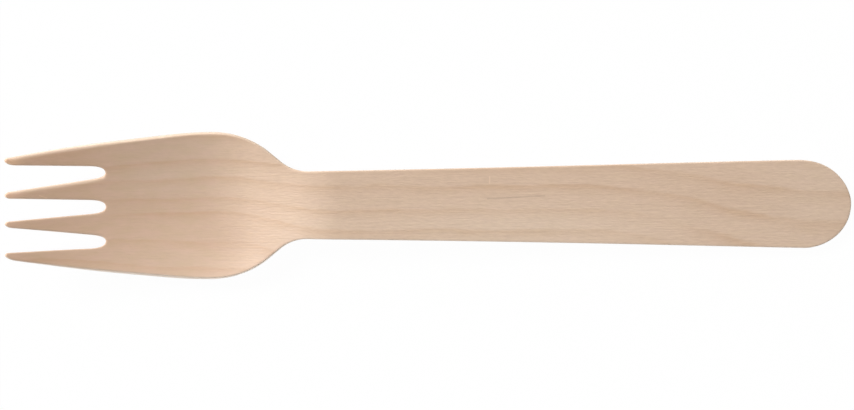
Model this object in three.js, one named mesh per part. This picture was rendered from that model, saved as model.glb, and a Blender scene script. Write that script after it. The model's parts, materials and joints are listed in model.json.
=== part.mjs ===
// A disposable wooden fork, die-cut from one sheet of birch veneer and hot-pressed to shape.
// Millimetres, +Z up. It lies as it rests on a table, hollow side up, with its tines to -X
// and the handle's round end to +X. In the functions below, x runs from the tine tips to the
// end of the handle and y is measured across from the centre line.

import * as THREE from 'three';

// Whole sheet
const forkLength = 160;
const sheetThickness = 1.8;
const arrisRadius = 0.25;

// Handle: its round end is cut a little out of square, so its two halves differ in length
const neckHalfWidth = 6.37;
const endHalfWidth = 8.35;
const endRoundLengths = [9.1, 8.1];
const endRoundPulls = [0.46, 0.58];
const handleEdgeSlope = 0.0145;

// Head, shoulders and neck: one shoulder starts a little further back than the other
const headHalfWidth = 13.8;
const widestAt = [38.5, 38.2];
const crownRadius = 75;
const crownAngle = Math.atan(0.104);
const shoulderRadius = 17;
const shoulderAngle = THREE.MathUtils.degToRad(39.3);
const neckRadius = 8;
const crownPull = 0.45;

// Tines and the gaps between them
const outerTineSlope = 0.167;
const gapCentres = [6.56, 0.12, -6.42];
const gapEndsAt = 18.4;
const gapHalfWidth = 1.33;
const gapRoundLength = 3.6;
const gapRoundPull = 0.7;

// Tips, each cut a little differently: the two sides of the tine and its point between them,
// all measured across, and how far back from the point each side begins to round
const tips = [
  { upperSide: 9.58, point: 9.17, lowerSide: 8.35, upperRound: 0.5, lowerRound: 1.9 },
  { upperSide: 3.24, point: 2.7, lowerSide: 2.12, upperRound: 0.9, lowerRound: 0.8 },
  { upperSide: -2.22, point: -2.66, lowerSide: -3.28, upperRound: 0.6, lowerRound: 1.2 },
  { upperSide: -8.02, point: -8.45, lowerSide: -9.24, upperRound: 0.5, lowerRound: 2.2 },
];
const tipRoundPull = 0.55;

// The head leans a little to one side of the handle's line
const leanAtTips = -0.6;
const leanBeginsAt = 62;

// Side profile of the pressed sheet: x, height over the handle, slope
const bowlDepth = 5.85;
const tipRise = 1.9;
const heelSlope = 0.355;
const sideProfile = [
  [0, tipRise, -0.36],
  [19, -0.62 * bowlDepth, -0.21],
  [37, -bowlDepth, 0],
  [47, -0.705 * bowlDepth, heelSlope],
  [54, -0.28 * bowlDepth, heelSlope],
  [61.5, 0, 0],
];

// Hollow across the sheet: x, curvature in 1/mm, and how fast it grows along x
const bowlCurvature = 0.0205;
const hollowProfile = [
  [0, 0.3 * bowlCurvature, 0.0006],
  [30, bowlCurvature, 0],
  [46, 1.2 * bowlCurvature, 0],
  [63, 0, 0],
];

// Spacing of the surface points: close on the pressed head, wide on the flat handle
const headSpacing = 1.5;
const handleSpacing = 3;
const edgeSpacing = 1.4;
const fewestDivisions = 5;
const mostDivisions = 34;
const edgeClearance = 0.6;
const slopeStep = 0.01;

// Value at x of a smooth curve through stations of [x, value, slope]
function alongProfile(stations, x) {
  const next = stations.findIndex((station) => station[0] > x);
  if (next === -1) return stations.at(-1)[1];
  const [x0, value0, slope0] = stations[next - 1];
  const [x1, value1, slope1] = stations[next];
  const span = x1 - x0;
  const t = (x - x0) / span;
  const blend = t * t * (3 - 2 * t);
  const bend = span * t * (1 - t) * (slope0 * (1 - t) - slope1 * t);
  return value0 * (1 - blend) + value1 * blend + bend;
}

// Height of the middle of the sheet after pressing
function pressedHeight(x, y) {
  return alongProfile(sideProfile, x) + alongProfile(hollowProfile, x) * y * y / 2;
}

// A point of the pressed sheet, so far above the middle of its thickness
function pressedPoint(x, y, offset) {
  const slopeX = (pressedHeight(x + slopeStep, y) - pressedHeight(x, y)) / slopeStep;
  const slopeY = (pressedHeight(x, y + slopeStep) - pressedHeight(x, y)) / slopeStep;
  const lean = leanAtTips * (Math.max(0, leanBeginsAt - x) / leanBeginsAt) ** 2;
  const normal = new THREE.Vector3(-slopeX, -slopeY, 1).normalize();
  return new THREE.Vector3(x, y + lean, pressedHeight(x, y)).addScaledVector(normal, offset);
}

// The two sides of each tine as straight lines from where they would meet the tip: the sides
// of a gap run to its round root, and the outer sides have a slope of their own
const gapRoundStart = gapEndsAt - gapRoundLength;
const slopeToRoot = (side, root) => (root - side) / gapRoundStart;
const tines = tips.map((tip, i) => ({
  point: tip.point,
  upper: {
    start: tip.upperSide,
    slope: i === 0
      ? outerTineSlope : slopeToRoot(tip.upperSide, gapCentres[i - 1] - gapHalfWidth),
    round: tip.upperRound,
  },
  lower: {
    start: tip.lowerSide,
    slope: i === tips.length - 1
      ? -outerTineSlope : slopeToRoot(tip.lowerSide, gapCentres[i] + gapHalfWidth),
    round: tip.lowerRound,
  },
}));

// The point of a tine's side at x
function sidePoint(side, x) {
  return new THREE.Vector2(x, side.start + side.slope * x);
}

// The tip of a tine, from its lower side round its point to its upper side
function tipEdge({ point, lower, upper }) {
  const edge = new THREE.Path();
  const lowerEnd = sidePoint(lower, lower.round);
  const lowerPull = sidePoint(lower, lower.round * (1 - tipRoundPull));
  const upperEnd = sidePoint(upper, upper.round);
  const upperPull = sidePoint(upper, upper.round * (1 - tipRoundPull));
  edge.moveTo(lowerEnd.x, lowerEnd.y);
  edge.bezierCurveTo(
    lowerPull.x, lowerPull.y,
    0, THREE.MathUtils.lerp(point, lower.start, tipRoundPull),
    0, point,
  );
  edge.bezierCurveTo(
    0, THREE.MathUtils.lerp(point, upper.start, tipRoundPull),
    upperPull.x, upperPull.y,
    upperEnd.x, upperEnd.y,
  );
  return edge;
}

// A gap with its bullet-shaped root, from the tine below it to the tine above it
function gapEdge(below, above, gapCentre) {
  const edge = new THREE.Path();
  const start = sidePoint(below, below.round);
  const lowRoot = sidePoint(below, gapRoundStart);
  const lowPull = sidePoint(below, gapRoundStart + gapRoundPull * gapRoundLength);
  const highRoot = sidePoint(above, gapRoundStart);
  const highPull = sidePoint(above, gapRoundStart + gapRoundPull * gapRoundLength);
  const end = sidePoint(above, above.round);
  edge.moveTo(start.x, start.y);
  edge.lineTo(lowRoot.x, lowRoot.y);
  edge.bezierCurveTo(
    lowPull.x, lowPull.y,
    gapEndsAt, gapCentre - gapHalfWidth / 2,
    gapEndsAt, gapCentre,
  );
  edge.bezierCurveTo(
    gapEndsAt, gapCentre + gapHalfWidth / 2,
    highPull.x, highPull.y,
    highRoot.x, highRoot.y,
  );
  edge.lineTo(end.x, end.y);
  return edge;
}

// One side of the outline, from the tip of its outer tine to the end of the handle. Both
// sides are drawn with y outward, so the lower one is mirrored afterwards
function sideEdge(tineSide, widestX, endRoundLength) {
  const edge = new THREE.Path();
  const quarter = Math.PI / 2;

  // the outer tine runs on into the side of the head
  const start = sidePoint(tineSide, tineSide.round);
  const crownX = widestX - crownRadius * Math.sin(crownAngle);
  const crownY = headHalfWidth - crownRadius * (1 - Math.cos(crownAngle));
  const pull = (crownX - start.x) * crownPull;
  edge.moveTo(start.x, start.y);
  edge.bezierCurveTo(
    start.x + pull, start.y + pull * tineSide.slope,
    crownX - pull, crownY - pull * Math.tan(crownAngle),
    crownX, crownY,
  );
  edge.absarc(
    widestX, headHalfWidth - crownRadius, crownRadius,
    quarter + crownAngle, quarter, true,
  );

  // shoulder and neck are two arcs with a straight run between them
  const arcDrop = (shoulderRadius + neckRadius) * (1 - Math.cos(shoulderAngle));
  const straightDrop = headHalfWidth - neckHalfWidth - arcDrop;
  const neckX = widestX + (shoulderRadius + neckRadius) * Math.sin(shoulderAngle)
    + straightDrop / Math.tan(shoulderAngle);
  edge.absarc(
    widestX, headHalfWidth - shoulderRadius, shoulderRadius,
    quarter, quarter - shoulderAngle, true,
  );
  edge.absarc(
    neckX, neckHalfWidth + neckRadius, neckRadius,
    -quarter - shoulderAngle, -quarter, false,
  );

  // the handle widens gently, then closes in a round end
  const roundX = forkLength - endRoundLength;
  const reach = (roundX - neckX) / 2;
  edge.bezierCurveTo(
    neckX + reach, neckHalfWidth + reach * handleEdgeSlope,
    roundX - reach / 2, endHalfWidth - reach / 2 * handleEdgeSlope,
    roundX, endHalfWidth,
  );
  edge.bezierCurveTo(
    roundX + endRoundPulls[0] * endRoundLength, endHalfWidth,
    forkLength, endRoundPulls[1] * endHalfWidth,
    forkLength, 0,
  );
  return edge;
}

// Points along a path, its two ends included
function divide(path) {
  const points = [path.getPoint(0)];
  for (const curve of path.curves) {
    const length = curve.getLength();
    const divisions = THREE.MathUtils.clamp(
      Math.round(length / edgeSpacing), fewestDivisions, mostDivisions,
    );
    // two curves that meet are joined by a line of no length, which adds nothing
    if (length < arrisRadius) continue;
    for (let i = 1; i <= divisions; i++) points.push(curve.getPointAt(i / divisions));
  }
  return points;
}

// The whole outline, anticlockwise, with no point twice
function outlinePoints() {
  const topSide = tines[0].upper;
  const bottom = tines.at(-1).lower;
  const bottomSide = { start: -bottom.start, slope: -bottom.slope, round: bottom.round };
  const bottomEdge = divide(sideEdge(bottomSide, widestAt[1], endRoundLengths[1])).reverse();
  const sections = [
    divide(sideEdge(topSide, widestAt[0], endRoundLengths[0])),
    bottomEdge.map((point) => new THREE.Vector2(point.x, -point.y)),
  ];
  for (let i = tines.length - 1; i >= 0; i--) {
    sections.push(divide(tipEdge(tines[i])));
    if (i === 0) continue;
    sections.push(divide(gapEdge(tines[i].upper, tines[i - 1].lower, gapCentres[i - 1])));
  }
  return sections.flatMap((section) => section.slice(1)).reverse();
}

// The outline moved inward by a distance, point for point
function insetOutline(outline, distance) {
  return outline.map((point, i) => {
    const arriving = point.clone().sub(outline.at(i - 1)).normalize();
    const leaving = outline[(i + 1) % outline.length].clone().sub(point).normalize();
    const along = arriving.add(leaving).normalize();
    return new THREE.Vector2(point.x - along.y * distance, point.y + along.x * distance);
  });
}

function isInside(polygon, x, y) {
  let inside = false;
  polygon.forEach((a, i) => {
    const b = polygon.at(i - 1);
    const crosses = (a.y > y) !== (b.y > y);
    if (crosses && x < a.x + (b.x - a.x) * (y - a.y) / (b.y - a.y)) inside = !inside;
  });
  return inside;
}

// Staggered rows of points inside an outline, clear of its edge
function innerPoints(outline) {
  const points = [];
  let x = 0;
  for (let row = 0; x < forkLength; row++) {
    const spacing = THREE.MathUtils.mapLinear(
      THREE.MathUtils.clamp(x, leanBeginsAt, forkLength / 2),
      leanBeginsAt, forkLength / 2, headSpacing, handleSpacing,
    );
    const stagger = row % 2 ? spacing / 2 : 0;
    const stepsDown = Math.ceil(headHalfWidth / spacing);
    for (let y = stagger - stepsDown * spacing; y < headHalfWidth; y += spacing) {
      const point = new THREE.Vector2(x, y);
      const clear = outline.every((edge) => edge.distanceTo(point) > edgeClearance * spacing);
      if (clear && isInside(outline, x, y)) points.push(point);
    }
    x += spacing * Math.sqrt(3) / 2;
  }
  return points;
}

// Delaunay triangles of a set of points: each new point replaces the triangles whose
// circles hold it with a fan to the border of the space they leave
function delaunay(points) {
  const frame = [
    new THREE.Vector2(-10 * forkLength, -10 * forkLength),
    new THREE.Vector2(11 * forkLength, -10 * forkLength),
    new THREE.Vector2(0, 11 * forkLength),
  ];
  const corners = [...points, ...frame];
  const circled = (a, b, c) => {
    const ab = corners[b].clone().sub(corners[a]);
    const ac = corners[c].clone().sub(corners[a]);
    const area = 2 * ab.cross(ac);
    const centre = new THREE.Vector2(
      (ac.y * ab.lengthSq() - ab.y * ac.lengthSq()) / area,
      (ab.x * ac.lengthSq() - ac.x * ab.lengthSq()) / area,
    );
    return { abc: [a, b, c], reach: centre.lengthSq(), centre: centre.add(corners[a]) };
  };
  let triangles = [circled(points.length, points.length + 1, points.length + 2)];
  points.forEach((point, p) => {
    const border = new Map();
    triangles = triangles.filter(({ abc, reach, centre }) => {
      if (centre.distanceToSquared(point) >= reach) return true;
      abc.forEach((from, i) => {
        const to = abc[(i + 1) % 3];
        if (!border.delete(`${to} ${from}`)) border.set(`${from} ${to}`, [from, to]);
      });
      return false;
    });
    for (const [from, to] of border.values()) triangles.push(circled(from, to, p));
  });
  return triangles.map(({ abc }) => abc).filter((abc) => Math.max(...abc) < points.length);
}

// Both pressed faces and the rounded rim between them, as one closed surface
function forkGeometry() {
  const outline = outlinePoints();
  const faceOutline = insetOutline(outline, arrisRadius);
  const inner = innerPoints(faceOutline);
  const facePoints = [...faceOutline, ...inner];
  const faceTriangles = delaunay(facePoints).filter((abc) => {
    const [a, b, c] = abc.map((i) => facePoints[i]);
    return isInside(faceOutline, (a.x + b.x + c.x) / 3, (a.y + b.y + c.y) / 3);
  });

  // the rim has one ring of points for each step round its two arrises, top to bottom
  const half = sheetThickness / 2;
  const arrisAngles = [0, Math.PI / 4, Math.PI / 2];
  const arrisSteps = arrisAngles.map((angle) => ({
    inset: arrisRadius * (1 - Math.sin(angle)),
    offset: half - arrisRadius * (1 - Math.cos(angle)),
  }));
  const rings = [
    ...arrisSteps,
    ...arrisSteps.map(({ inset, offset }) => ({ inset, offset: -offset })).reverse(),
  ];
  const vertices = rings.flatMap(({ inset, offset }) => (
    insetOutline(outline, inset).map(({ x, y }) => pressedPoint(x, y, offset))
  ));
  const innerTop = vertices.length;
  vertices.push(...inner.map(({ x, y }) => pressedPoint(x, y, half)));
  const innerBottom = vertices.length;
  vertices.push(...inner.map(({ x, y }) => pressedPoint(x, y, -half)));

  const triangles = [];
  const count = outline.length;
  const lastRing = (rings.length - 1) * count;
  const topVertex = (i) => (i < count ? i : innerTop + i - count);
  const bottomVertex = (i) => (i < count ? lastRing + i : innerBottom + i - count);
  for (const [a, b, c] of faceTriangles) {
    triangles.push(topVertex(a), topVertex(b), topVertex(c));
    triangles.push(bottomVertex(c), bottomVertex(b), bottomVertex(a));
  }
  for (let ring = 0; ring < lastRing; ring += count) {
    for (let i = 0; i < count; i++) {
      const j = (i + 1) % count;
      triangles.push(ring + i, ring + count + i, ring + count + j);
      triangles.push(ring + i, ring + count + j, ring + j);
    }
  }

  const geometry = new THREE.BufferGeometry().setFromPoints(vertices);
  geometry.setIndex(triangles);
  geometry.computeVertexNormals();
  return geometry;
}

// Tips the fork until the bowl and the end of the handle both touch the table
function layAtRest(fork) {
  const end = pressedPoint(forkLength - arrisRadius, 0, -sheetThickness / 2);
  const position = fork.geometry.getAttribute('position');
  let steepest = 0;
  for (let i = 0; i < position.count; i++) {
    if (position.getX(i) > leanBeginsAt) continue;
    const slope = (end.z - position.getZ(i)) / (end.x - position.getX(i));
    steepest = Math.max(steepest, slope);
  }
  fork.rotation.y = Math.atan(steepest);
  const box = new THREE.Box3().setFromObject(fork, true);
  const centre = box.getCenter(new THREE.Vector3());
  fork.position.set(-centre.x, -centre.y, -box.min.z);
}

const birch = new THREE.MeshStandardMaterial({ color: 0xcfb59f, roughness: 0.6, metalness: 0 });
const fork = new THREE.Mesh(forkGeometry(), birch);
fork.name = 'fork';
layAtRest(fork);

const model = new THREE.Group();
model.add(fork);

export default model;
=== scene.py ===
import json
import math

import bpy
import numpy as np
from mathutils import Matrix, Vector
from mathutils.geometry import delaunay_2d_cdt


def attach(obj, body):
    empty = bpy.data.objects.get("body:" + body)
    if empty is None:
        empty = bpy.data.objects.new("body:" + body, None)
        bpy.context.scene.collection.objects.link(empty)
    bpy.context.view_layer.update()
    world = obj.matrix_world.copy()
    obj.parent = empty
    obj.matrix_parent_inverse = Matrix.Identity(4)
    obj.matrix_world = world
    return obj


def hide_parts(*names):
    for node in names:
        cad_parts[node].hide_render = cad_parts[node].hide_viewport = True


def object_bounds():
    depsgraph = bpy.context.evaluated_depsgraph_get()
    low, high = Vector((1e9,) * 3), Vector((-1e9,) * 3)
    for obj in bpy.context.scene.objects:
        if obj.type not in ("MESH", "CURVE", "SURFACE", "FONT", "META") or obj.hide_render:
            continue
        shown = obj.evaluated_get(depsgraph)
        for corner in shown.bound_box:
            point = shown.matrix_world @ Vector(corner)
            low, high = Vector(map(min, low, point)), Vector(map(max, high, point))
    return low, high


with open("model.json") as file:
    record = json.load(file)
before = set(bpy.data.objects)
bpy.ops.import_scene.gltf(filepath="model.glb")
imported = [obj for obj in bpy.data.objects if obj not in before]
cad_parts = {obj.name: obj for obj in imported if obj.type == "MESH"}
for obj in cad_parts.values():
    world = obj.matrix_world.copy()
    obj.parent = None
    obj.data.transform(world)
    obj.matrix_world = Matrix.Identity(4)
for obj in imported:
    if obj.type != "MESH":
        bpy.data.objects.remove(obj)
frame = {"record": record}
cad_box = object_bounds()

# The fork is drawn in millimetres on the flat sheet that it was cut from: x runs from the tine
# tips to the round end of the handle, y across from the centre line. Pressing then shapes it.
MM = 0.001

# Whole sheet
FORK_LENGTH = 160.0
SHEET_THICKNESS = 1.8
HALF_THICKNESS = SHEET_THICKNESS / 2
ARRIS_RADIUS = 0.25

# Handle: both sides leave the neck at one slope and widen gently. The round end is cut a little
# out of square, so it differs from the upper side to the lower one.
NECK_HALF_WIDTH = 6.37
HANDLE_EDGE_SLOPE = 0.0145
END_ROUNDS = (
    {"length": 10.1, "half_width": 8.22, "slope": 0.0145, "pulls": (0.72, 0.34)},
    {"length": 9.0, "half_width": 8.48, "slope": 0.024, "pulls": (0.44, 0.66)},
)

# Head, shoulders and neck: the upper shoulder starts a little further back than the lower one
HEAD_HALF_WIDTH = 13.8
WIDEST_AT = (38.6, 38.45)
CROWN_RADIUS = 75.0
CROWN_SLOPE = 0.104
CROWN_ANGLE = math.atan(CROWN_SLOPE)
CROWN_PULL = 0.45
SHOULDER_RADIUS = 17.0
SHOULDER_ANGLE = math.radians(39.3)
NECK_RADIUS = 8.0

# Tines and the gaps between them
OUTER_TINE_SLOPE = 0.167
GAP_CENTRES = (6.56, 0.12, -6.42)
GAP_HALF_WIDTH = 1.33
GAP_ENDS_AT = 18.4
GAP_ROUND_LENGTH = 3.0
GAP_ROUND_STARTS_AT = GAP_ENDS_AT - GAP_ROUND_LENGTH
GAP_ROUND_PULL = 0.7
GAP_ROOT_PULL = 0.6

# Tips, each cut a little differently: the upper side of the tine, its point and its lower
# side, measured across, and how far back from the point each side begins to round
TIPS = (
    {"upper": 9.58, "point": 9.17, "lower": 8.35, "upper_round": 0.5, "lower_round": 1.9},
    {"upper": 3.24, "point": 2.7, "lower": 2.12, "upper_round": 0.9, "lower_round": 0.8},
    {"upper": -2.22, "point": -2.66, "lower": -3.28, "upper_round": 0.6, "lower_round": 1.2},
    {"upper": -8.02, "point": -8.45, "lower": -9.24, "upper_round": 0.5, "lower_round": 2.2},
)
TIP_ROUND_PULL = 0.55

# The head bends a little to one side of the handle's line, most of all at the tips
HEAD_SHIFT_AT_TIPS = -0.6
HEAD_SHIFT_BEGINS_AT = 62.0

# Side profile of the pressed sheet: x, height over the handle, slope
BEYOND_HANDLE = 2 * FORK_LENGTH
BOWL_DEPTH = 5.85
TIP_RISE = 1.9
HEEL_SLOPE = 0.355
SIDE_PROFILE = (
    (0.0, TIP_RISE, -0.36),
    (19.0, -0.62 * BOWL_DEPTH, -0.21),
    (37.0, -BOWL_DEPTH, 0.0),
    (47.0, -0.705 * BOWL_DEPTH, HEEL_SLOPE),
    (54.0, -0.28 * BOWL_DEPTH, HEEL_SLOPE),
    (62.5, 0.0, 0.0),
    (BEYOND_HANDLE, 0.0, 0.0),
)

# Hollow across the sheet: x, curvature in 1/mm, and how fast it grows along x
BOWL_CURVATURE = 0.0205
HOLLOW_PROFILE = (
    (0.0, 0.3 * BOWL_CURVATURE, 0.0006),
    (30.0, BOWL_CURVATURE, 0.0),
    (46.0, 1.2 * BOWL_CURVATURE, 0.0),
    (63.0, 0.0, 0.0),
    (BEYOND_HANDLE, 0.0, 0.0),
)

# How far the cut walls lean with the pressed sheet, at four places along it: the tips, the
# roots of the gaps, the bowl and the heel
WALL_LEANS = {
    "x": (0.0, 12.0, 30.0, 44.0),
    "along": (0.6, 0.25, 0.3, 0.35),
    "across": (1.0, 1.0, 1.0, 0.4),
}

# Spacing of the surface points: close across the fibres, wider along them, and clear of the edge
EDGE_SPACING = 0.3
LEAST_CURVE_STEPS = 8
STEP_ALONG = 0.5
STEP_ACROSS = 0.2
EDGE_CLEARANCE = 0.7 * STEP_ACROSS
ARRIS_RINGS = 5
WALL_STEPS = 4
SLOPE_STEP = 0.01

# Blender's triangulation: its kind that keeps triangles inside the outline, and its tolerance
TRIANGLES_INSIDE = 1
MERGE_DISTANCE = 1e-5

# The top arris is wide from wear where a tine faces up the sheet, towards the key lamp, and its
# cut is painted pale there as a painted highlight: added width and height, which way it faces,
# which tines, where it starts behind the tips and ends on the bowl, and how strong the painted
# highlight is
LIT_ARRIS_WEAR = {"width": 0.5, "height": 0.25, "facing": (0.3, 0.9), "tines": (-4.0, 6.0)}
LIT_ARRIS_SPAN = (0.0, 1.6, 10.0, 28.0)
PAINTED_ARRIS_HIGHLIGHT = 0.35

# The cut is painted palest where it faces down the sheet and towards the handle's end, away from
# the key lamp: painted fill light on these shaded walls. That direction, and how squarely a wall
# faces it where it starts to pale and where it is palest
PAINTED_FILL_DIRECTION = (0.5, -0.87)
PAINTED_FILL_FACING = (-0.3, 0.5)

# Relief of the faces and the cut walls: length and width of the waves, and their height. Those
# of the walls shift with height in the sheet. All come from square tables of random numbers.
FACE_WAVES = (
    {"length": 14.0, "width": 5.0, "height": 0.015, "seed": 11},
    {"length": 6.0, "width": 1.1, "height": 0.003, "seed": 12},
)
HEEL_CRINKLES = {"length": 5.0, "width": 0.9, "height": 0.006, "seed": 13}
HEEL_SPAN = (44.0, 50.0, 60.0, 68.0)
WALL_WAVES = (
    {"length": 2.6, "width": 0.9, "height": 0.012, "seed": 14},
    {"length": 0.7, "width": 0.3, "height": 0.003, "seed": 15},
)
WALL_WAVE_SHIFT = 3
NOISE_CELLS = 256

# Fibres stand out in full on the heel and the handle, and only in part in the pressed bowl
SMOOTH_SHARE = 0.42
FIBRES_RISE = (36.0, 47.0)

# Growth rings: where their lines cross the bowl, how they drift and spread along the fork, how
# they slant through the sheet, and the margin beyond the outer ones
RINGS = (-9.5, -5.8, -1.4, 1.25, 4.35, 7.0, 10.4)
BOWL_FAN = {"rise": (5.0, 36.0), "fall": (40.0, 58.0), "share": 0.3, "centre": 4.0}
NECK_DRIFT = {"span": (41.5, 60.6), "shift": 2.85, "spread": 0.435}
END_DRIFT = {"span": (110.0, 158.0), "shift": 8.99, "spread": 0.49}
RING_SLANT = 1.3
RING_MARGIN = 2.0

# Profile of a ring line: distance from its darkest place, and darkness there
RING_LINE = ((-1.3, 0.0), (-0.5, 0.45), (0.0, 1.0), (0.35, 0.0))

# Where the ring lines are faint: centre, reach along and across, share taken away
FAINT_RINGS = (
    {"centre": (13.0, -1.0), "reach": (11.0, 5.0), "share": 1.0},
    {"centre": (27.0, 11.5), "reach": (14.0, 2.5), "share": 0.8},
    {"centre": (42.0, -6.0), "reach": (5.0, 3.5), "share": 0.5},
    {"centre": (28.0, -10.0), "reach": (12.0, 4.5), "share": 0.3},
    {"centre": (50.0, 1.0), "reach": (8.0, 5.0), "share": 0.25},
    {"centre": (71.0, 3.5), "reach": (12.0, 2.5), "share": 0.3},
    {"centre": (90.0, -1.5), "reach": (30.0, 2.5), "share": 0.45},
    {"centre": (124.0, -3.0), "reach": (9.0, 3.0), "share": 0.7},
    {"centre": (118.0, -6.5), "reach": (12.0, 2.5), "share": 0.45},
    {"centre": (128.0, 5.5), "reach": (12.0, 2.5), "share": 0.45},
)

# Soft areas, mostly warmer over the tines and bowl and cooler towards the handle: centre, reach
# along and across, how much paler, how much warmer
TONE_AREAS = (
    {"centre": (0.0, 0.0), "reach": (24.0, 30.0), "pale": -0.06, "warm": 1.0},
    {"centre": (0.0, 9.0), "reach": (2.4, 12.0), "pale": 0.35, "warm": 0.5},
    {"centre": (32.0, -1.0), "reach": (16.0, 8.0), "pale": 0.0, "warm": 0.3},
    {"centre": (28.0, 5.0), "reach": (8.0, 3.0), "pale": 0.025, "warm": -0.4},
    {"centre": (31.0, -6.0), "reach": (7.0, 3.0), "pale": 0.025, "warm": 0.0},
    {"centre": (9.0, 8.5), "reach": (12.0, 4.0), "pale": -0.035, "warm": 0.35},
    {"centre": (43.5, -7.5), "reach": (6.5, 5.5), "pale": -0.085, "warm": 0.4},
    {"centre": (43.5, 4.0), "reach": (7.0, 3.5), "pale": 0.03, "warm": -0.2},
    {"centre": (59.0, -4.5), "reach": (5.0, 4.0), "pale": 0.03, "warm": -0.2},
    {"centre": (97.0, -5.0), "reach": (30.0, 5.0), "pale": 0.06, "warm": -0.6},
    {"centre": (139.0, 0.5), "reach": (18.0, 4.0), "pale": -0.015, "warm": 0.1},
    {"centre": (154.0, 1.0), "reach": (12.0, 12.0), "pale": 0.0, "warm": -0.35},
)

# Small marks on the top face: a dark split in the handle, a pale nick above it, a pale fibre on
# a tine. Each fades out at its width to either side, and its depth adds to the brightness.
MARKS = (
    {"start": (90.6, 1.12), "run": (10.8, 0.52), "width": 0.24, "depth": -0.2},
    {"start": (91.0, 5.3), "run": (0.0, -1.3), "width": 0.16, "depth": 0.16},
    {"start": (6.2, 2.55), "run": (1.3, -0.5), "width": 0.16, "depth": 0.16},
)

# Colours of the faces: two hues of bare birch, and tints for warm areas, ring lines and pores
BIRCH_OCHRE = (0.664, 0.4905, 0.349, 1)
BIRCH_PINK = (0.674, 0.4865, 0.369, 1)
WARM_TINT = (0.985, 0.905, 0.85, 1)
RING_TINT_SMOOTH = (0.98, 0.917, 0.868, 1)
RING_TINT_RAISED = (0.92, 0.877, 0.825, 1)
PORE_TINT = (0.86, 0.8, 0.74, 1)

# Colours of the cut, plain and pale along the grain, dark and pale across it. The pale one along
# the grain also carries the cut's painted light.
CUT_SIDE_PLAIN = (0.69, 0.52, 0.385, 1)
CUT_SIDE_PALE = (0.98, 0.85, 0.73, 1)
CUT_END_DARK = (0.52, 0.36, 0.25, 1)
CUT_END_PALE = (0.7, 0.52, 0.38, 1)

# Noise is stretched about its middle, so that most of it lies between -1 and 1
NOISE_MIDDLE = 0.5
NOISE_GAIN = 4.0

# Strength of the short streaks against the long ones, the range of noise over which a pore
# darkens, and how strong the blotches would be where no fibre stands out
SHORT_FIBRE_SHARE = 1.4
PORE_RANGE = (0.7, 1.3)
MOST_MOTTLE = 1.25

# How much streaks, long bands and blotches change the brightness of the faces
STREAK_DEPTH = 0.035
BAND_DEPTH = 0.012
MOTTLE_DEPTH = 0.03

# Hue of the faces, from 0 for ochre to 1 for pink: where it rests, and how a streak changes it
MIDDLE_BLUSH = 0.5
STREAK_BLUSH = -0.09

# Pallor of the cut along the grain: how much the painted light that follows its direction, its
# depth in the sheet and the speckle add to it. Across the grain it has a middle value and a
# stronger speckle.
CUT_PAINTED_LIGHT = 0.85
CUT_PALES_DOWN = 0.35
CUT_SPECKLE = 0.25
CUT_END_MIDDLE = 0.5
CUT_END_SPECKLE = 0.5

# A wall that faces the same way as the tips shows its cut across the grain in full, and one that
# faces the handle's end, away from the key lamp, only a share of it, so that this shaded end is
# painted paler
HANDLE_END_GRAIN_PAINTED_PALE = 0.35

# Roughness of the faces and the cut, how a streak changes it, and the height of the fibres
FACE_ROUGHNESS = 0.56
CUT_ROUGHNESS = 0.75
STREAK_ROUGHNESS = 0.04
FIBRE_RELIEF = 0.008

# The stage is in metres. Its floor is nearly all plain white to the camera, so that only a
# trace of the shadow is seen.
WHITE = (1, 1, 1, 1)
FLOOR_HALF_WIDTH = 1.5
FLOOR_COLOUR = (0.93, 0.93, 0.93, 1)
FLOOR_ROUGHNESS = 0.9
FLOOR_WHITE_SHARE = 0.98

# White room: its light is brighter low down, where its walls stand, than overhead. Their reach
# is the sine of the angle up to which they are seen.
CEILING_LIGHT = 0.18
WALL_LIGHT = 1.9
WALLS_REACH = 0.5

# One large soft lamp beyond the tines, whose level is how bright it makes a flat white sheet
KEY_DISTANCE = 3.0
KEY_ELEVATION = math.radians(38)
KEY_AZIMUTH = math.radians(145)
KEY_SIZE = 1.2
KEY_LEVEL = 0.705

# Camera, nearly straight above, with a sensor width in millimetres
CAMERA_DISTANCE = 0.52
CAMERA_TILT = math.radians(1.5)
CAMERA_ROLL = math.radians(-0.17)
SENSOR_WIDTH = 36.0
NEAREST_SEEN = 0.01

# The photo's scale, its size in pixels, and where the middle of the fork lies in it
PIXELS_PER_METRE = 5233.0
PHOTO_SIZE = (854, 410)
PHOTO_CENTRE = (431.0, 204.6)


# Outline

def bezier(start, pull_start, pull_end, end):
    """Points of a cubic curve, its start left out."""
    corners = np.array((start, pull_start, pull_end, end), dtype=float)
    length = np.linalg.norm(np.diff(corners, axis=0), axis=1).sum()
    steps = max(LEAST_CURVE_STEPS, round(length / EDGE_SPACING))
    t = np.linspace(0, 1, steps + 1)[1:, None]
    weights = ((1 - t) ** 3, 3 * (1 - t) ** 2 * t, 3 * (1 - t) * t ** 2, t ** 3)
    return sum(weight * corner for weight, corner in zip(weights, corners))


def arc(centre, radius, start_angle, end_angle):
    """Points of an arc, its start left out."""
    length = radius * abs(end_angle - start_angle)
    steps = max(LEAST_CURVE_STEPS, round(length / EDGE_SPACING))
    angles = np.linspace(start_angle, end_angle, steps + 1)[1:]
    return np.array(centre) + radius * np.column_stack((np.cos(angles), np.sin(angles)))


def line(start, end):
    """Points of a straight run, its start left out."""
    steps = max(1, round(math.dist(start, end) / EDGE_SPACING))
    t = np.linspace(0, 1, steps + 1)[1:, None]
    return (1 - t) * np.array(start) + t * np.array(end)


def side_point(side, x):
    """The point at x of a tine's side, which is given by its start and slope."""
    return (x, side["start"] + side["slope"] * x)


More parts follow.
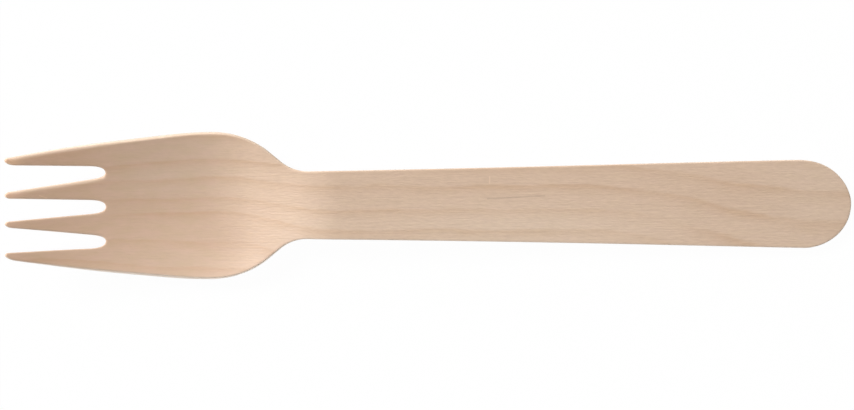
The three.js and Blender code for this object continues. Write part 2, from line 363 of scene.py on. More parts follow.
def tine_sides():
    """Both sides of each tine: those of a gap run to its root, the outer ones flare."""
    tines = []
    for i, tip in enumerate(TIPS):
        upper_slope = OUTER_TINE_SLOPE
        lower_slope = -OUTER_TINE_SLOPE
        if i > 0:
            root = GAP_CENTRES[i - 1] - GAP_HALF_WIDTH
            upper_slope = (root - tip["upper"]) / GAP_ROUND_STARTS_AT
        if i < len(TIPS) - 1:
            root = GAP_CENTRES[i] + GAP_HALF_WIDTH
            lower_slope = (root - tip["lower"]) / GAP_ROUND_STARTS_AT
        tines.append({
            "point": tip["point"],
            "upper": {"start": tip["upper"], "slope": upper_slope, "round": tip["upper_round"]},
            "lower": {"start": tip["lower"], "slope": lower_slope, "round": tip["lower_round"]},
        })
    return tines


def tip_edge(tine):
    """The tip of a tine, from its lower side round its point to its upper side."""
    point, lower, upper = tine["point"], tine["lower"], tine["upper"]
    into_point = point + TIP_ROUND_PULL * (lower["start"] - point)
    out_of_point = point + TIP_ROUND_PULL * (upper["start"] - point)
    lower_pull = side_point(lower, lower["round"] * (1 - TIP_ROUND_PULL))
    upper_pull = side_point(upper, upper["round"] * (1 - TIP_ROUND_PULL))
    return np.vstack((
        bezier(side_point(lower, lower["round"]), lower_pull, (0, into_point), (0, point)),
        bezier((0, point), (0, out_of_point), upper_pull, side_point(upper, upper["round"])),
    ))


def gap_edge(below, above, gap_centre):
    """A gap with its bullet-shaped root, from the tine below it to the tine above it."""
    pull_x = GAP_ROUND_STARTS_AT + GAP_ROUND_PULL * GAP_ROUND_LENGTH
    root = (GAP_ENDS_AT, gap_centre)
    root_pull = GAP_ROOT_PULL * GAP_HALF_WIDTH
    low_root = side_point(below, GAP_ROUND_STARTS_AT)
    high_root = side_point(above, GAP_ROUND_STARTS_AT)
    into_root = (GAP_ENDS_AT, gap_centre - root_pull)
    out_of_root = (GAP_ENDS_AT, gap_centre + root_pull)
    return np.vstack((
        line(side_point(below, below["round"]), low_root),
        bezier(low_root, side_point(below, pull_x), into_root, root),
        bezier(root, out_of_root, side_point(above, pull_x), high_root),
        line(high_root, side_point(above, above["round"])),
    ))


def tine_and_crown(tine_side, widest_x):
    """The outer side of an outer tine and the widest part of the head, with its start."""
    start = side_point(tine_side, tine_side["round"])
    crown_x = widest_x - CROWN_RADIUS * math.sin(CROWN_ANGLE)
    crown_y = HEAD_HALF_WIDTH - CROWN_RADIUS * (1 - math.cos(CROWN_ANGLE))
    pull = (crown_x - start[0]) * CROWN_PULL
    tine = bezier(
        start,
        (start[0] + pull, start[1] + pull * tine_side["slope"]),
        (crown_x - pull, crown_y - pull * math.tan(CROWN_ANGLE)),
        (crown_x, crown_y),
    )
    crown_centre = (widest_x, HEAD_HALF_WIDTH - CROWN_RADIUS)
    crown = arc(crown_centre, CROWN_RADIUS, math.pi / 2 + CROWN_ANGLE, math.pi / 2)
    return np.vstack(([start], tine, crown))


def neck_place(widest_x):
    """Where the neck is narrowest: past the shoulder's arc, a straight run and the neck's arc."""
    radii = SHOULDER_RADIUS + NECK_RADIUS
    arc_drop = radii * (1 - math.cos(SHOULDER_ANGLE))
    straight_drop = HEAD_HALF_WIDTH - NECK_HALF_WIDTH - arc_drop
    arc_length = radii * math.sin(SHOULDER_ANGLE)
    return widest_x + arc_length + straight_drop / math.tan(SHOULDER_ANGLE)


def shoulder_and_neck(widest_x, neck_x):
    """Shoulder and neck, as two arcs with a straight run between them."""
    quarter = math.pi / 2
    shoulder_centre = (widest_x, HEAD_HALF_WIDTH - SHOULDER_RADIUS)
    neck_centre = (neck_x, NECK_HALF_WIDTH + NECK_RADIUS)
    neck_start = (
        neck_x - NECK_RADIUS * math.sin(SHOULDER_ANGLE),
        NECK_HALF_WIDTH + NECK_RADIUS * (1 - math.cos(SHOULDER_ANGLE)),
    )
    shoulder = arc(shoulder_centre, SHOULDER_RADIUS, quarter, quarter - SHOULDER_ANGLE)
    neck = arc(neck_centre, NECK_RADIUS, -quarter - SHOULDER_ANGLE, -quarter)
    return np.vstack((shoulder, line(shoulder[-1], neck_start), neck))


def handle_side(neck_x, end_round):
    """One side of the handle, which widens gently and then closes in a round end."""
    end_half_width = end_round["half_width"]
    round_x = FORK_LENGTH - end_round["length"]
    reach = (round_x - neck_x) / 2
    widening = bezier(
        (neck_x, NECK_HALF_WIDTH),
        (neck_x + reach, NECK_HALF_WIDTH + reach * HANDLE_EDGE_SLOPE),
        (round_x - reach / 2, end_half_width - reach / 2 * end_round["slope"]),
        (round_x, end_half_width),
    )
    round_end = bezier(
        (round_x, end_half_width),
        (round_x + end_round["pulls"][0] * end_round["length"], end_half_width),
        (FORK_LENGTH, end_round["pulls"][1] * end_half_width),
        (FORK_LENGTH, 0.0),
    )
    return np.vstack((widening, round_end))


def side_edge(tine_side, widest_x, end_round):
    """One side of the outline, from its outer tine to the end of the handle."""
    neck_x = neck_place(widest_x)
    return np.vstack((
        tine_and_crown(tine_side, widest_x),
        shoulder_and_neck(widest_x, neck_x),
        handle_side(neck_x, end_round),
    ))


def outline_points():
    """The whole outline, anticlockwise, with no point twice."""
    tines = tine_sides()
    lowest = tines[-1]["lower"]
    mirrored = {"start": -lowest["start"], "slope": -lowest["slope"], "round": lowest["round"]}
    upper_edge = side_edge(tines[0]["upper"], WIDEST_AT[0], END_ROUNDS[0])
    lower_edge = side_edge(mirrored, WIDEST_AT[1], END_ROUNDS[1])[::-1] * (1, -1)
    sections = [upper_edge[1:], lower_edge[1:]]
    for i in reversed(range(len(tines))):
        sections.append(tip_edge(tines[i]))
        if i:
            sections.append(gap_edge(tines[i]["upper"], tines[i - 1]["lower"], GAP_CENTRES[i - 1]))
    return np.vstack(sections)[::-1]


def outward(outline):
    """Unit vectors that point out of the outline at each of its points."""
    leaving = np.roll(outline, -1, axis=0) - outline
    leaving /= np.linalg.norm(leaving, axis=1)[:, None]
    along = leaving + np.roll(leaving, 1, axis=0)
    along /= np.linalg.norm(along, axis=1)[:, None]
    return np.column_stack((along[:, 1], -along[:, 0]))


# Pressed shape

def smooth(t):
    """Rises from 0 to 1 as t does, and is level at both ends."""
    return t * t * (3 - 2 * t)


def eased(x, start, end):
    """Rises smoothly from 0 to 1 between two places."""
    return smooth(np.clip((x - start) / (end - start), 0, 1))


def along_profile(stations, x):
    """Values at x of a smooth curve through stations of (x, value, slope)."""
    stations = np.array(stations)
    index = np.clip(np.searchsorted(stations[:, 0], x, side="right") - 1, 0, len(stations) - 2)
    x0, value0, slope0 = stations[index].T
    x1, value1, slope1 = stations[index + 1].T
    span = x1 - x0
    t = (x - x0) / span
    blend = smooth(t)
    bend = span * t * (1 - t) * (slope0 * (1 - t) - slope1 * t)
    return value0 * (1 - blend) + value1 * blend + bend


def pressed_height(x, y):
    """Height of the middle of the sheet after pressing."""
    return along_profile(SIDE_PROFILE, x) + along_profile(HOLLOW_PROFILE, x) * y * y / 2


def pressed_points(x, y, offset):
    """Points of the pressed sheet, so far above the middle of its thickness."""
    rise_x = pressed_height(x + SLOPE_STEP, y) - pressed_height(x - SLOPE_STEP, y)
    rise_y = pressed_height(x, y + SLOPE_STEP) - pressed_height(x, y - SLOPE_STEP)
    slope_x = rise_x / (2 * SLOPE_STEP)
    slope_y = rise_y / (2 * SLOPE_STEP)
    lean_x = slope_x * np.interp(x, WALL_LEANS["x"], WALL_LEANS["along"])
    lean_y = slope_y * np.interp(x, WALL_LEANS["x"], WALL_LEANS["across"])
    thickness_share = np.sqrt(1 + slope_x ** 2 + slope_y ** 2)
    thickness_share /= 1 + lean_x * slope_x + lean_y * slope_y
    through = np.column_stack((-lean_x, -lean_y, np.ones_like(x)))
    shift_share = np.maximum(0, HEAD_SHIFT_BEGINS_AT - x) / HEAD_SHIFT_BEGINS_AT
    shifted_y = y + HEAD_SHIFT_AT_TIPS * shift_share ** 2
    middle = np.column_stack((x, shifted_y, pressed_height(x, y)))
    return middle + through * (offset * thickness_share)[:, None]


def lay_at_rest(points):
    """Lays the fork as the CAD model lies, at its handle's slant, and fits it to that box."""
    handle_top = frame["record"]["mounts"][0]
    tilt = math.atan2(handle_top["axis"][0], handle_top["axis"][2])
    x, y, z = points.T
    turned_x = x * math.cos(tilt) + z * math.sin(tilt)
    turned_z = z * math.cos(tilt) - x * math.sin(tilt)
    turned = np.column_stack((turned_x, y, turned_z))
    low, high = turned.min(axis=0), turned.max(axis=0)
    cad_low, cad_high = np.array(cad_box) / MM
    return cad_low + (turned - low) * (cad_high - cad_low) / (high - low)


# Wood

def wood_noise(x, y, length, width, seed):
    """Smooth seeded noise from -1 to 1, with waves of one length and width."""
    table = np.random.default_rng(seed).uniform(-1, 1, (NOISE_CELLS, NOISE_CELLS))
    column, row = np.floor(x / length).astype(int), np.floor(y / width).astype(int)
    s, t = smooth(x / length - column), smooth(y / width - row)
    near = column % NOISE_CELLS
    far = (column + 1) % NOISE_CELLS
    low = row % NOISE_CELLS
    high = (row + 1) % NOISE_CELLS
    below = table[near, low] * (1 - s) + table[far, low] * s
    above = table[near, high] * (1 - s) + table[far, high] * s
    return below * (1 - t) + above * t


def wave_heights(x, y, waves):
    """Height of several sizes of waves together."""
    return sum(
        wave["height"] * wood_noise(x, y, wave["length"], wave["width"], wave["seed"])
        for wave in waves
    )


def face_relief(x, y):
    """Fine ridges of the fibres, with the crinkles that the press leaves on the heel."""
    heel = eased(x, *HEEL_SPAN[:2]) * (1 - eased(x, *HEEL_SPAN[2:]))
    return wave_heights(x, y, FACE_WAVES) + heel * wave_heights(x, y, [HEEL_CRINKLES])


def across_rings(x, y):
    """Where a point lies across the growth rings, whose lines drift and spread along x."""
    for drift in (END_DRIFT, NECK_DRIFT):
        amount = eased(x, *drift["span"])
        y = (y + drift["shift"] * amount) / (1 + drift["spread"] * amount)
    fan = eased(x, *BOWL_FAN["rise"]) * (1 - eased(x, *BOWL_FAN["fall"]))
    outer_share = y * y / (y * y + BOWL_FAN["centre"] ** 2)
    return y / (1 + BOWL_FAN["share"] * fan * outer_share)


def raised_fibres(x):
    """How far the fibres stand out: the press smooths them in the bowl."""
    return SMOOTH_SHARE + (1 - SMOOTH_SHARE) * eased(x, *FIBRES_RISE)


def soft_areas(x, y, areas, quantity):
    """Sum of a quantity over soft round areas, at each point."""
    total = np.zeros_like(x)
    for area in areas:
        u = (x - area["centre"][0]) / area["reach"][0]
        v = (y - area["centre"][1]) / area["reach"][1]
        total += area[quantity] * np.exp(-u * u - v * v)
    return total


# Fork mesh

def arris_wear_and_highlight(outline, out):
    """How much wear widens the top arris at each point of the outline, and so how strong its
    painted highlight is, from 0 to 1.
    """
    x, y = outline.T
    facing = eased(out[:, 1], *LIT_ARRIS_WEAR["facing"]) * eased(y, *LIT_ARRIS_WEAR["tines"])
    return facing * eased(x, *LIT_ARRIS_SPAN[:2]) * (1 - eased(x, *LIT_ARRIS_SPAN[2:]))


def inner_points(outline):
    """Staggered rows of points inside an outline, clear of its edge."""
    columns = np.arange(0, FORK_LENGTH, STEP_ALONG)
    rows = np.arange(-HEAD_HALF_WIDTH, HEAD_HALF_WIDTH, STEP_ACROSS)
    x, y = np.meshgrid(columns, rows, indexing="ij")
    y[1::2] += STEP_ACROSS / 2
    x, y = x.ravel(), y.ravel()
    inside = np.zeros(len(x), dtype=bool)
    clearance = np.full(len(x), np.inf)
    for a, b in zip(outline, np.roll(outline, -1, axis=0)):
        beside = (y > min(a[1], b[1])) & (y <= max(a[1], b[1]))
        crossing = a[0] + (b[0] - a[0]) * (y[beside] - a[1]) / (b[1] - a[1])
        inside[beside] ^= x[beside] < crossing
        clearance = np.minimum(clearance, (x - a[0]) ** 2 + (y - a[1]) ** 2)
    keep = inside & (clearance > EDGE_CLEARANCE ** 2)
    return np.column_stack((x[keep], y[keep]))


def rim_rings(arris_width, arris_height):
    """Rings of points round the rim, from the top face down to the underside.

    Each has how far it lies inside the outline, its height in the sheet and its share of cut.
    """
    rings = []
    for angle in np.linspace(0, math.pi / 2, ARRIS_RINGS):
        inset, drop = 1 - math.sin(angle), 1 - math.cos(angle)
        height = HALF_THICKNESS - drop * arris_height
        rings.append((inset * arris_width, height, 2 * angle / math.pi))
    wall_top = HALF_THICKNESS - arris_height
    wall_bottom = ARRIS_RADIUS - HALF_THICKNESS
    for share in np.linspace(0, 1, WALL_STEPS + 1)[1:-1]:
        rings.append((0.0, wall_top + share * (wall_bottom - wall_top), 1.0))
    for angle in np.linspace(math.pi / 2, 0, ARRIS_RINGS):
        inset, drop = 1 - math.sin(angle), 1 - math.cos(angle)
        height = np.full(len(arris_width), drop * ARRIS_RADIUS - HALF_THICKNESS)
        rings.append((inset * ARRIS_RADIUS, height, 2 * angle / math.pi))
    return rings


def sheet_points(outline, out, rings, inner):
    """Places, heights and shares of cut of all points: ring by ring, then top and underside."""
    places, heights, cut_shares = [], [], []
    for inset, height, cut_share in rings:
        wave_y = outline[:, 1] + WALL_WAVE_SHIFT * height
        rough = cut_share * wave_heights(outline[:, 0], wave_y, WALL_WAVES)
        places.append(outline - (inset + np.abs(rough))[:, None] * out)
        heights.append(height)
        cut_shares.append(np.full(len(outline), cut_share))
    for height in (HALF_THICKNESS, -HALF_THICKNESS):
        places.append(inner)
        heights.append(np.full(len(inner), height))
        cut_shares.append(np.zeros(len(inner)))
    x, y = np.vstack(places).T
    return x, y, np.concatenate(heights), np.concatenate(cut_shares)


def fork_faces(face_outline, inner, ring_count):
    """Triangles over the top face and the underside, and four-sided faces round the rim."""
    count = len(face_outline)
    flat = [Vector(point) for point in np.vstack((face_outline, inner))]
    edge = list(range(count))
    result = delaunay_2d_cdt(flat, [], [edge], TRIANGLES_INSIDE, MERGE_DISTANCE)
    triangles, sources = result[2], result[3]
    triangles = np.array([[sources[i][0] for i in triangle] for triangle in triangles])
    on_edge = triangles < count
    last_ring = (ring_count - 1) * count
    top = np.where(on_edge, triangles, triangles + last_ring)
    underside = last_ring + np.where(on_edge, triangles, triangles + len(inner))

    here = np.arange(count)
    beyond = (here + 1) % count
    rim = np.vstack([
        np.column_stack((ring + here, ring + count + here, ring + count + beyond, ring + beyond))
        for ring in range(0, last_ring, count)
    ])
    return top.tolist() + underside[:, ::-1].tolist() + rim.tolist()


def store_values(mesh, name, values):
    """Stores a number or a vector for each point of a mesh."""
    kind, field = ("FLOAT_VECTOR", "vector") if values.ndim == 2 else ("FLOAT", "value")
    attribute = mesh.attributes.new(name, kind, "POINT")
    attribute.data.foreach_set(field, np.ascontiguousarray(values, dtype=np.float32).ravel())


def store_rim_values(mesh, name, values, ring_count):
    """Stores a number given round the outline for each ring of the rim, and none elsewhere."""
    all_values = np.zeros(len(mesh.vertices))
    all_values[:ring_count * len(values)] = np.tile(values, ring_count)
    store_values(mesh, name, all_values)


def store_wood(mesh, x, y, height, cut_share):
    """Stores what the wood's material reads at each point, from its place in the sheet."""
    depth = HALF_THICKNESS - height
    ring_strength = np.maximum(0, 1 - soft_areas(x, y, FAINT_RINGS, "share"))
    store_values(mesh, "grain_place", np.column_stack((x, y, depth)))
    store_values(mesh, "across_rings", across_rings(x, y) + RING_SLANT * depth)
    store_values(mesh, "ring_strength", ring_strength)
    store_values(mesh, "raised_fibres", raised_fibres(x))
    store_values(mesh, "cut_edge", cut_share)
    store_values(mesh, "pale", soft_areas(x, y, TONE_AREAS, "pale"))
    store_values(mesh, "warm", soft_areas(x, y, TONE_AREAS, "warm"))


def fork_mesh():
    """Both pressed faces and the rounded rim between them, as one closed mesh."""
    outline = outline_points()
    out = outward(outline)
    highlight_and_wear = arris_wear_and_highlight(outline, out)
    arris_width = ARRIS_RADIUS + LIT_ARRIS_WEAR["width"] * highlight_and_wear
    arris_height = ARRIS_RADIUS + LIT_ARRIS_WEAR["height"] * highlight_and_wear
    face_outline = outline - arris_width[:, None] * out
    inner = inner_points(face_outline)
    rings = rim_rings(arris_width, arris_height)
    x, y, height, cut_share = sheet_points(outline, out, rings, inner)

    # the underside takes its relief from another part of the noise than the top face
    under = height < 0
    relief = (1 - cut_share) * face_relief(x, np.where(under, y + FORK_LENGTH, y))
    points = lay_at_rest(pressed_points(x, y, height + np.where(under, -relief, relief)))

    mesh = bpy.data.meshes.new("fork_veneer")
    mesh.from_pydata((points * MM).tolist(), [], fork_faces(face_outline, inner, len(rings)))
    mesh.shade_smooth()
    store_wood(mesh, x, y, height, cut_share)
    # Cut across the grain: in full where a wall faces the tips, and in part on the shaded handle
    # end, which is painted paler
    end_grain = np.where(out[:, 0] > 0, HANDLE_END_GRAIN_PAINTED_PALE * out[:, 0], -out[:, 0])
    store_rim_values(mesh, "end_grain", end_grain, len(rings))
    # Painted light on the cut: painted fill where a wall faces away from the key lamp, and the
    # painted highlight of the lit top arris
    shaded_side_fill = eased(out @ PAINTED_FILL_DIRECTION, *PAINTED_FILL_FACING)
    pale_cut = np.maximum(shaded_side_fill, PAINTED_ARRIS_HIGHLIGHT * highlight_and_wear)
    store_rim_values(mesh, "pale_cut", pale_cut, len(rings))
    return mesh


def make_fork():
    """The fork as one piece, in place of the plain solid."""
    fork = bpy.data.objects.new("fork_veneer", fork_mesh())
    bpy.context.collection.objects.link(fork)
    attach(fork, "root")
    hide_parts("fork")
    return fork


# Shader nodes

def add_node(tree, kind, values=(), **settings):
    """A new node, with its inputs given as numbers, colours or other nodes' outputs."""
    node = tree.nodes.new(kind)
    for name, setting in settings.items():
        setattr(node, name, setting)
    for key, value in dict(values).items():
        if isinstance(value, bpy.types.NodeSocket):
            tree.links.new(value, node.inputs[key])
        else:
            node.inputs[key].default_value = value
    return node


def math_node(tree, operation, *values):
    """The result of one sum or other operation on numbers."""
    return add_node(tree, "ShaderNodeMath", enumerate(values), operation=operation).outputs[0]


def vector_node(tree, operation, *values, output="Vector"):
    """The result of one operation on vectors."""
    node = add_node(tree, "ShaderNodeVectorMath", enumerate(values), operation=operation)
    return node.outputs[output]


def scaled(tree, vector, scale):
    """A vector or a colour times a number."""
    values = {0: vector, "Scale": scale}
    return add_node(tree, "ShaderNodeVectorMath", values, operation="SCALE").outputs[0]


def clamped(tree, value):
    """A number held between 0 and 1."""
    return add_node(tree, "ShaderNodeClamp", {"Value": value}).outputs[0]


def mix_colours(tree, factor, first, second, blend="MIX", clamp=True):
    """Two colours mixed; the node's inputs 6 and 7 and its output 2 are those for colours."""
    inputs = {"Factor": factor, 6: first, 7: second}
    node = add_node(tree, "ShaderNodeMix", inputs, data_type="RGBA", blend_type=blend,
                    clamp_factor=clamp)
    return node.outputs[2]


def mix_shaders(tree, factor, first, second):
    """Two shaders mixed."""
    inputs = {"Fac": factor, 1: first, 2: second}
    return add_node(tree, "ShaderNodeMixShader", inputs).outputs[0]


def point_value(tree, name, output="Fac"):
    """What the mesh stores under a name, at the place that is shaded."""
    return add_node(tree, "ShaderNodeAttribute", attribute_name=name).outputs[output]


def new_group(name, inputs, outputs):
    """An empty node group, with its inputs to read from and its outputs to link to."""
    tree = bpy.data.node_groups.new(name, "ShaderNodeTree")
    for label, kind, default in inputs:
        socket = tree.interface.new_socket(label, in_out="INPUT", socket_type=kind)
        if default is not None:
            socket.default_value = default
    for label, kind in outputs:
        tree.interface.new_socket(label, in_out="OUTPUT", socket_type=kind)
    read = tree.nodes.new("NodeGroupInput").outputs
    write = tree.nodes.new("NodeGroupOutput").inputs
    return tree, read, write


def place_group(tree, group, **values):
    """Places a group, with values for its inputs named in small letters and underscores."""
    node = add_node(tree, "ShaderNodeGroup", node_tree=group)
    for socket in node.inputs:
        value = values.pop(socket.name.replace(" ", "_").lower(), None)
        if isinstance(value, bpy.types.NodeSocket):
            tree.links.new(value, socket)
        elif value is not None:
            socket.default_value = value
    return node.outputs


# Figure of the wood

def grain_noise_group():
    """Noise drawn out along the fibres, mostly between -1 and 1."""
    tree, read, write = new_group(
        "grain_noise",
        (
            ("Place", "NodeSocketVector", None),
            ("Length", "NodeSocketFloat", 5.0),
            ("Width", "NodeSocketFloat", 0.5),
            ("Detail", "NodeSocketFloat", 1.0),
            ("Seed", "NodeSocketFloat", 0.0),
        ),
        (("Value", "NodeSocketFloat"),),
    )
    size = add_node(tree, "ShaderNodeCombineXYZ",
                    {"X": read["Length"], "Y": read["Width"], "Z": read["Width"]})
    cells = vector_node(tree, "DIVIDE", read["Place"], size.outputs[0])
    noise = add_node(
        tree, "ShaderNodeTexNoise",
        {"Vector": cells, "W": read["Seed"], "Scale": 1.0, "Detail": read["Detail"]},
        noise_dimensions="4D",
    )
    centred = math_node(tree, "SUBTRACT", noise.outputs["Fac"], NOISE_MIDDLE)
    tree.links.new(math_node(tree, "MULTIPLY", centred, NOISE_GAIN), write["Value"])
    return tree


def growth_rings_group(grain_noise):
    """The growth rings: each line starts sharply on one side and fades out on the other."""
    tree, read, write = new_group(
        "growth_rings",
        (
            ("Place", "NodeSocketVector", None),
            ("Across", "NodeSocketFloat", 0.0),
            ("Sway", "NodeSocketFloat", 0.2),
            ("Feathering", "NodeSocketFloat", 0.2),
            ("Fading", "NodeSocketFloat", 0.5),
        ),
        (("Line", "NodeSocketFloat"),),
    )
    place = read["Place"]
    sway = place_group(tree, grain_noise, place=place, length=11.0, width=4.0, seed=1.0)
    swayed = math_node(tree, "MULTIPLY_ADD", sway["Value"], read["Sway"], read["Across"])
    feather = place_group(tree, grain_noise, place=place, length=4.5, width=0.35, seed=9.0)
    feathered = math_node(tree, "MULTIPLY_ADD", feather["Value"], read["Feathering"], swayed)
    low, high = RINGS[0] - RING_MARGIN, RINGS[-1] + RING_MARGIN
    share = add_node(tree, "ShaderNodeMapRange",
                     {"Value": feathered, "From Min": low, "From Max": high}).outputs[0]
    ramp = add_node(tree, "ShaderNodeValToRGB", {"Fac": share})
    stops = ramp.color_ramp.elements
    stops[0].color = stops[1].color = (0, 0, 0, 1)
    for ring in RINGS:
        for distance, darkness in RING_LINE:
            stop = stops.new((ring + distance - low) / (high - low))
            stop.color = (darkness, darkness, darkness, 1)
    fade = place_group(tree, grain_noise, place=place, length=16.0, width=2.5, seed=2.0)
    strength = math_node(tree, "MULTIPLY_ADD", fade["Value"], read["Fading"], 1.0)
    ring_line = math_node(tree, "MULTIPLY", ramp.outputs["Color"], strength)
    tree.links.new(math_node(tree, "MAXIMUM", ring_line, 0.0), write["Line"])
    return tree


def birch_fibres_group(grain_noise):
    """The fine streaks of the fibres: long ones, short ones, and the dark dashes of pores."""
    tree, read, write = new_group(
        "birch_fibres",
        (("Place", "NodeSocketVector", None), ("Short Share", "NodeSocketFloat", 1.0)),
        (("Streaks", "NodeSocketFloat"), ("Pores", "NodeSocketFloat")),
    )
    place = read["Place"]
    long = place_group(tree, grain_noise, place=place, length=7.5, width=0.37, seed=3.0)
    short = place_group(tree, grain_noise, place=place, length=1.4, width=0.37, seed=4.0)
    pores = place_group(tree, grain_noise, place=place, length=1.3, width=0.1, seed=5.0)
    both = math_node(tree, "MULTIPLY_ADD", short["Value"], read["Short Share"], long["Value"])
    tree.links.new(both, write["Streaks"])
    dashes = add_node(
        tree, "ShaderNodeMapRange",
        {"Value": pores["Value"], "From Min": PORE_RANGE[0], "From Max": PORE_RANGE[1]},
    )
    tree.links.new(dashes.outputs[0], write["Pores"])
    return tree


def scored_line_group():
    """A thin straight mark on one face, between two places on the flat sheet."""
    tree, read, write = new_group(
        "scored_line",
        (
            ("Place", "NodeSocketVector", None),
            ("Start", "NodeSocketVector", None),
            ("Run", "NodeSocketVector", None),
            ("Width", "NodeSocketFloat", 0.2),
        ),
        (("Mark", "NodeSocketFloat"),),
    )
    reach = vector_node(tree, "SUBTRACT", read["Place"], read["Start"])
    along = vector_node(tree, "DOT_PRODUCT", reach, read["Run"], output="Value")
    run_squared = vector_node(tree, "DOT_PRODUCT", read["Run"], read["Run"], output="Value")
    share = clamped(tree, math_node(tree, "DIVIDE", along, run_squared))
    nearest = scaled(tree, read["Run"], share)
    distance = vector_node(tree, "DISTANCE", reach, nearest, output="Value")
    fall = math_node(tree, "DIVIDE", distance, read["Width"])
    tree.links.new(clamped(tree, math_node(tree, "SUBTRACT", 1.0, fall)), write["Mark"])
    return tree


# Materials

def face_brightness(tree, grain_noise, place, streaks, blotches):
    """Brightness of the faces: streaks, long bands, blotches, soft areas and small marks."""
    bands = place_group(tree, grain_noise, place=place, length=38.0, width=2.4, seed=7.0)
    level = math_node(tree, "MULTIPLY_ADD", streaks, STREAK_DEPTH, 1.0)
    level = math_node(tree, "MULTIPLY_ADD", bands["Value"], BAND_DEPTH, level)
    level = math_node(tree, "MULTIPLY_ADD", blotches, MOTTLE_DEPTH, level)
    level = math_node(tree, "ADD", level, point_value(tree, "pale"))
    scored_line = scored_line_group()
    for mark in MARKS:
        scored = place_group(tree, scored_line, place=place, start=(*mark["start"], 0.0),
                             run=(*mark["run"], 0.0), width=mark["width"])
        level = math_node(tree, "MULTIPLY_ADD", scored["Mark"], mark["depth"], level)
    return level


def face_colour(tree, grain_noise, place, raised, streaks, pores):
    """Colour of the faces: its hue with soft blotches, then warm areas, ring lines and pores."""
    mottle = place_group(tree, grain_noise, place=place, length=4.0, width=1.5, seed=6.0,
                         detail=2.0)
    smoothness = math_node(tree, "SUBTRACT", MOST_MOTTLE, raised)
    blotches = math_node(tree, "MULTIPLY", mottle["Value"], smoothness)
    blush = math_node(tree, "ADD", blotches, MIDDLE_BLUSH)
    blush = math_node(tree, "MULTIPLY_ADD", streaks, STREAK_BLUSH, blush)
    face = mix_colours(tree, blush, BIRCH_OCHRE, BIRCH_PINK)
    warm = point_value(tree, "warm")
    face = mix_colours(tree, warm, face, WARM_TINT, "MULTIPLY", clamp=False)

    rings = place_group(
        tree, growth_rings_group(grain_noise), place=place,
        across=point_value(tree, "across_rings"), sway=0.2, feathering=0.16, fading=0.55,
    )
    ring_line = math_node(tree, "MULTIPLY", rings["Line"], point_value(tree, "ring_strength"))
    ring_tint = mix_colours(tree, raised, RING_TINT_SMOOTH, RING_TINT_RAISED)
    face = mix_colours(tree, ring_line, face, ring_tint, "MULTIPLY")
    face = mix_colours(tree, pores, face, PORE_TINT, "MULTIPLY")
    return scaled(tree, face, face_brightness(tree, grain_noise, place, streaks, blotches))


def cut_colour(tree, grain_noise, place):
    """Colour of the cut, which pales towards the underside, is painted paler where it faces away
    from the key lamp and on the lit top arris, and is brown across the fibres.
    """
    speckle = place_group(tree, grain_noise, place=place, length=9.0, width=0.3, seed=8.0,
                          detail=2.0)["Value"]
    depth = add_node(tree, "ShaderNodeSeparateXYZ", {0: place}).outputs["Z"]
    pallor = math_node(tree, "MULTIPLY", depth, CUT_PALES_DOWN / SHEET_THICKNESS)
    pallor = math_node(tree, "MULTIPLY_ADD", speckle, CUT_SPECKLE, pallor)
    # Painted light: the cut is paler where it faces away from the key lamp and on the lit top
    # arris
    pallor = math_node(tree, "MULTIPLY_ADD", point_value(tree, "pale_cut"), CUT_PAINTED_LIGHT, pallor)
    side = mix_colours(tree, pallor, CUT_SIDE_PLAIN, CUT_SIDE_PALE)
    end_pallor = math_node(tree, "MULTIPLY_ADD", speckle, CUT_END_SPECKLE, CUT_END_MIDDLE)
    end = mix_colours(tree, end_pallor, CUT_END_DARK, CUT_END_PALE)
    return mix_colours(tree, point_value(tree, "end_grain"), side, end)


def birch_veneer():
    """Pale bare birch: its figure on the faces, and paler or browner where it was cut, the cut's
    pallor partly painted light.
    """
    material = bpy.data.materials.new("birch_veneer")
    material.use_nodes = True
    tree = material.node_tree
    shader = tree.nodes["Principled BSDF"]
    grain_noise = grain_noise_group()
    place = point_value(tree, "grain_place", "Vector")
    raised = point_value(tree, "raised_fibres")
    cut_edge = point_value(tree, "cut_edge")
    fibres = birch_fibres_group(grain_noise)
    streaks, pores = place_group(tree, fibres, place=place, short_share=SHORT_FIBRE_SHARE)
    streaks = math_node(tree, "MULTIPLY", streaks, raised)

    face = face_colour(tree, grain_noise, place, raised, streaks, pores)
    cut = cut_colour(tree, grain_noise, place)
    tree.links.new(mix_colours(tree, cut_edge, face, cut), shader.inputs["Base Color"])
    rough = math_node(tree, "MULTIPLY_ADD", streaks, STREAK_ROUGHNESS, FACE_ROUGHNESS)
    rough = math_node(tree, "MULTIPLY_ADD", cut_edge, CUT_ROUGHNESS - FACE_ROUGHNESS, rough)
    tree.links.new(rough, shader.inputs["Roughness"])
    ridges = math_node(tree, "SUBTRACT", streaks, pores)
    bump = add_node(tree, "ShaderNodeBump",
                    {"Height": ridges, "Strength": 1.0, "Distance": FIBRE_RELIEF * MM})
    tree.links.new(bump.outputs[0], shader.inputs["Normal"])
    return material


def white_floor():
    """White paint that shows as nearly plain white to the camera and in reflections."""
    material = bpy.data.materials.new("white_floor")
    material.use_nodes = True
    tree = material.node_tree
    paint = tree.nodes["Principled BSDF"]
    paint.inputs["Base Color"].default_value = FLOOR_COLOUR
    paint.inputs["Roughness"].default_value = FLOOR_ROUGHNESS
    white = add_node(tree, "ShaderNodeEmission", {"Color": WHITE})
    rays = add_node(tree, "ShaderNodeLightPath").outputs
    seen = math_node(tree, "MAXIMUM", rays["Is Camera Ray"], rays["Is Glossy Ray"])
    share = math_node(tree, "MULTIPLY", seen, FLOOR_WHITE_SHARE)
    surface = mix_shaders(tree, share, paint.outputs[0], white.outputs[0])
    tree.links.new(surface, tree.nodes["Material Output"].inputs["Surface"])
    return material


# Stage

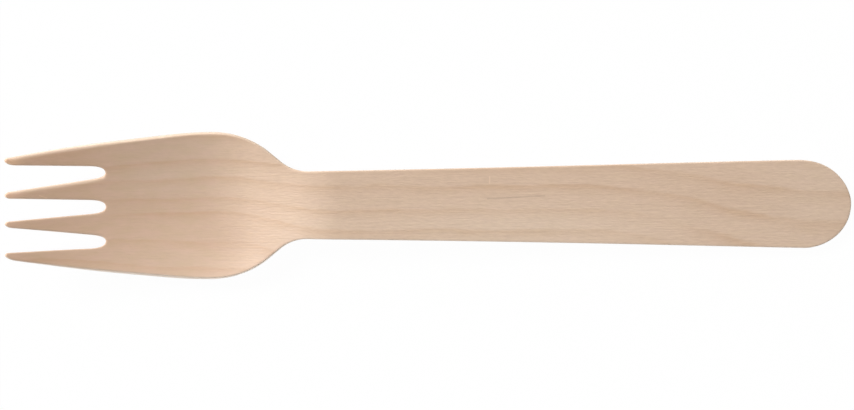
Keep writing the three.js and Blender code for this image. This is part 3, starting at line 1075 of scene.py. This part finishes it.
def make_floor():
    """A wide white floor under the fork."""
    half = FLOOR_HALF_WIDTH
    mesh = bpy.data.meshes.new("floor")
    corners = [(-half, -half, 0), (half, -half, 0), (half, half, 0), (-half, half, 0)]
    mesh.from_pydata(corners, [], [(0, 1, 2, 3)])
    floor = bpy.data.objects.new("floor", mesh)
    bpy.context.collection.objects.link(floor)
    mesh.materials.append(white_floor())


def make_world():
    """Light from a white room all round, which the camera itself sees as plain white."""
    world = bpy.data.worlds.new("studio")
    world.use_nodes = True
    tree = world.node_tree
    direction = add_node(tree, "ShaderNodeTexCoord").outputs["Generated"]
    height = add_node(tree, "ShaderNodeSeparateXYZ", {0: direction}).outputs["Z"]
    strength = add_node(
        tree, "ShaderNodeMapRange",
        {"Value": height, "From Min": 0.0, "From Max": WALLS_REACH,
         "To Min": WALL_LIGHT, "To Max": CEILING_LIGHT},
        interpolation_type="SMOOTHSTEP",
    )
    room = tree.nodes["Background"]
    room.inputs["Color"].default_value = WHITE
    tree.links.new(strength.outputs[0], room.inputs["Strength"])
    backdrop = add_node(tree, "ShaderNodeBackground", {"Color": WHITE})
    seen = add_node(tree, "ShaderNodeLightPath").outputs["Is Camera Ray"]
    surface = mix_shaders(tree, seen, room.outputs[0], backdrop.outputs[0])
    tree.links.new(surface, tree.nodes["World Output"].inputs["Surface"])
    bpy.context.scene.world = world


def make_key_light():
    """A large soft lamp beyond the tines, on the image's upper left."""
    data = bpy.data.lights.new("key", "AREA")
    data.shape = "DISK"
    data.size = KEY_SIZE
    data.energy = KEY_LEVEL * (math.pi * KEY_DISTANCE) ** 2 / math.sin(KEY_ELEVATION)
    lamp = bpy.data.objects.new("key", data)
    bpy.context.collection.objects.link(lamp)
    direction = Vector((
        math.cos(KEY_ELEVATION) * math.cos(KEY_AZIMUTH),
        math.cos(KEY_ELEVATION) * math.sin(KEY_AZIMUTH),
        math.sin(KEY_ELEVATION),
    ))
    lamp.location = direction * KEY_DISTANCE
    lamp.rotation_euler = direction.to_track_quat("Z", "Y").to_euler()


def make_camera():
    """Looks down on the fork through a long lens, from a little to the +Y side."""
    data = bpy.data.cameras.new("camera")
    data.sensor_width = SENSOR_WIDTH
    data.lens = data.sensor_width * PIXELS_PER_METRE * CAMERA_DISTANCE / PHOTO_SIZE[0]
    data.clip_start = NEAREST_SEEN
    camera = bpy.data.objects.new("camera", data)
    bpy.context.collection.objects.link(camera)
    aim = Vector((
        (PHOTO_SIZE[0] / 2 - PHOTO_CENTRE[0]) / PIXELS_PER_METRE,
        (PHOTO_CENTRE[1] - PHOTO_SIZE[1] / 2) / PIXELS_PER_METRE,
        0.0,
    ))
    back = Vector((0, math.sin(CAMERA_TILT), math.cos(CAMERA_TILT)))
    camera.location = aim + back * CAMERA_DISTANCE
    camera.rotation_euler = (-CAMERA_TILT, 0, CAMERA_ROLL)
    bpy.context.scene.camera = camera


fork = make_fork()
fork.data.materials.append(birch_veneer())
make_floor()
make_world()
make_key_light()
make_camera()
bpy.context.scene.view_settings.view_transform = "Standard"
